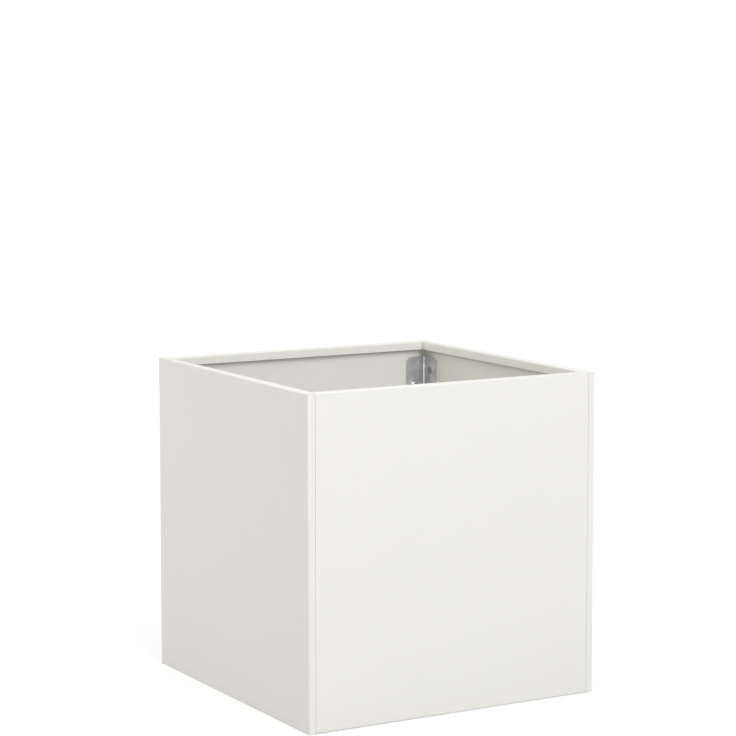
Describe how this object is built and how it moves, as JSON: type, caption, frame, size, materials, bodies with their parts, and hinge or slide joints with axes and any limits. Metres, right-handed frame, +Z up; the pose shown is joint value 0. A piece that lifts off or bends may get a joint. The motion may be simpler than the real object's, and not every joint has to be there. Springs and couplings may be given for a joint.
{
  "type": "square steel planter",
  "caption": "Cube-shaped open planter of folded powder-coated steel sheet, with mitred rim, bolted corner brackets and a raised base plate with drain holes.",
  "frame": {"origin": "centre of the footprint, on the ground", "axes": "+Z up, +X to the right and +Y to the back, seen from the front; the front and back faces are those with a seam beside each corner"},
  "size_m": [0.4, 0.4, 0.4],
  "materials": {
    "powder_coat": "off-white satin powder coat with a fine orange peel",
    "base_coat": "off-white satin powder coat",
    "bracket_zinc": "galvanised sheet",
    "stud_steel": "copper-flashed steel, dull",
    "fastener_zinc": "bright zinc plate"
  },
  "bodies": {
    "root": {"left_side_panel": "powder_coat", "right_side_panel": "powder_coat", "front_panel": "powder_coat", "back_panel": "powder_coat", "corner_bracket_front_left": "bracket_zinc", "corner_bracket_front_right": "bracket_zinc", "corner_bracket_back_left": "bracket_zinc", "corner_bracket_back_right": "bracket_zinc", "studs_front_left": "stud_steel", "studs_front_right": "stud_steel", "studs_back_left": "stud_steel", "studs_back_right": "stud_steel", "washers_front_left": "fastener_zinc", "washers_front_right": "fastener_zinc", "washers_back_left": "fastener_zinc", "washers_back_right": "fastener_zinc", "nuts_front_left": "fastener_zinc", "nuts_front_right": "fastener_zinc", "nuts_back_left": "fastener_zinc", "nuts_back_right": "fastener_zinc", "base_plate": "base_coat", "base_rib_left": "base_coat", "base_rib_right": "base_coat"}
  },
  "joints": []
}
